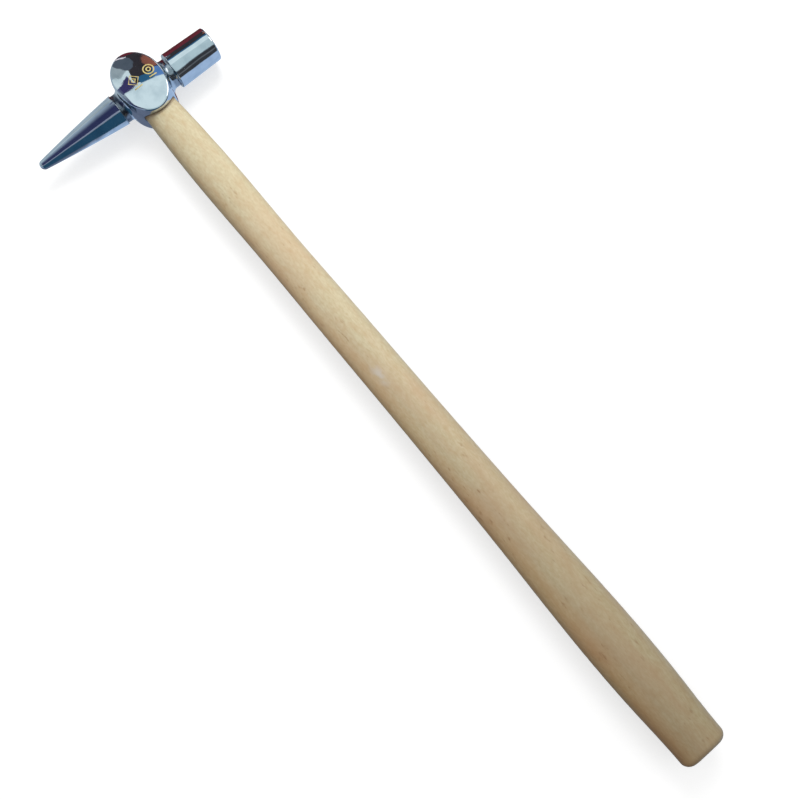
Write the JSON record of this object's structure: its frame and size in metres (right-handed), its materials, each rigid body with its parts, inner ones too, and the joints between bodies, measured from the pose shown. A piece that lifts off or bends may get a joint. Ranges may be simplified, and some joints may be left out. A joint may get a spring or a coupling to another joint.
{
  "type": "hammer",
  "caption": "Light long-handled hammer: chromed steel head with a round striking poll and a long tapered pointed peen, wedged onto an oval wooden handle.",
  "frame": {"origin": "under the middle of the hammer's outline, on the surface that it lies on", "axes": "+X along the head towards the striking face, +Y along the handle towards the head, +Z square to the cheeks; the hammer lies on one cheek"},
  "size_m": [0.1104, 0.441, 0.024],
  "materials": {
    "chromed_steel": "polished chrome plate",
    "lacquered_wood": "pale blond hardwood under satin clear lacquer",
    "wedge_wood": "sawn end grain",
    "wedge_steel": "dull hammered top"
  },
  "bodies": {
    "root": {"hammer_head": "chromed_steel", "handle": "lacquered_wood", "wood_wedge": "wedge_wood", "steel_wedge_front": "wedge_steel", "steel_wedge_rear": "wedge_steel"}
  },
  "joints": []
}
